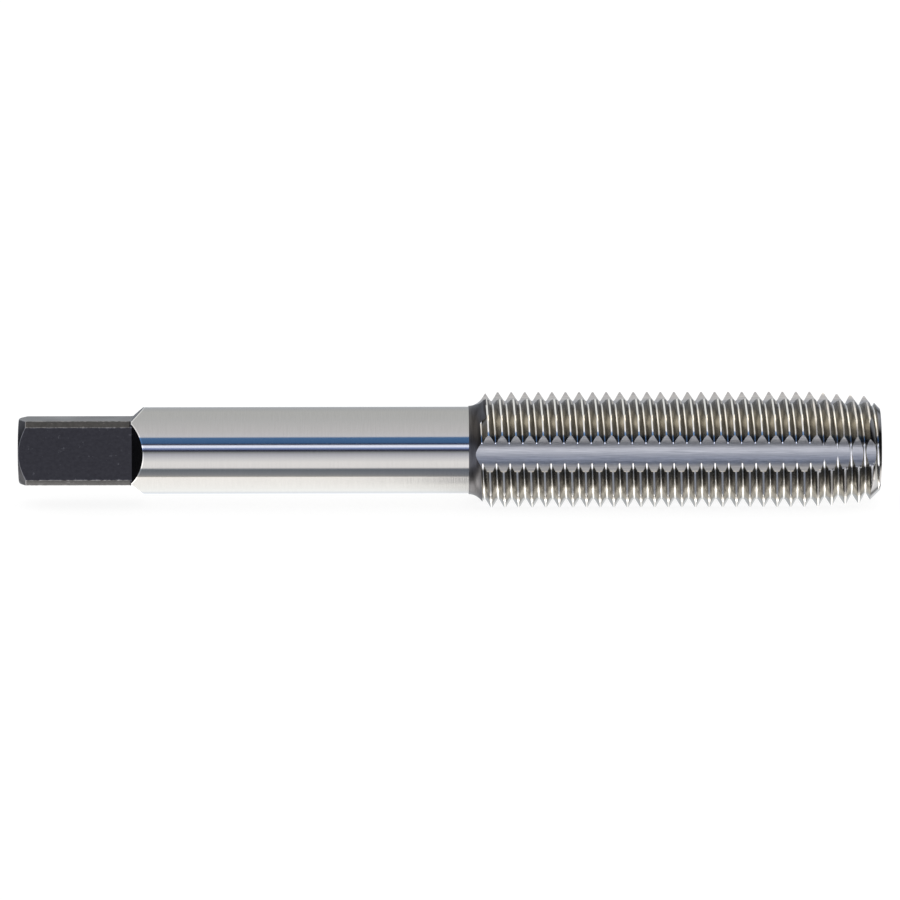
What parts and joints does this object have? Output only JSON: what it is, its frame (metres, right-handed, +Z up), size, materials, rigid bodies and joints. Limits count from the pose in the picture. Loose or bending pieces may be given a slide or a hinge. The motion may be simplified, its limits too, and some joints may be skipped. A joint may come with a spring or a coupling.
{
  "type": "thread tap",
  "caption": "Straight steel thread tap with a square drive, ground shank, flared neck and right-hand thread split by shallow lengthwise oil grooves.",
  "frame": {"origin": "on the tap's axis, in the plane of the square drive's end face", "axes": "+X along the axis from the square drive to the point; +Z up with the tap lying on its thread; the front oil groove faces -Y, a few degrees above the level"},
  "size_m": [0.0804, 0.01, 0.01],
  "materials": {
    "tool_steel": "hardened steel: ground bright on the shank, thread and grooves, left dark on the square drive and the neck"
  },
  "bodies": {
    "root": {"thread_tap": "tool_steel"}
  },
  "joints": []
}
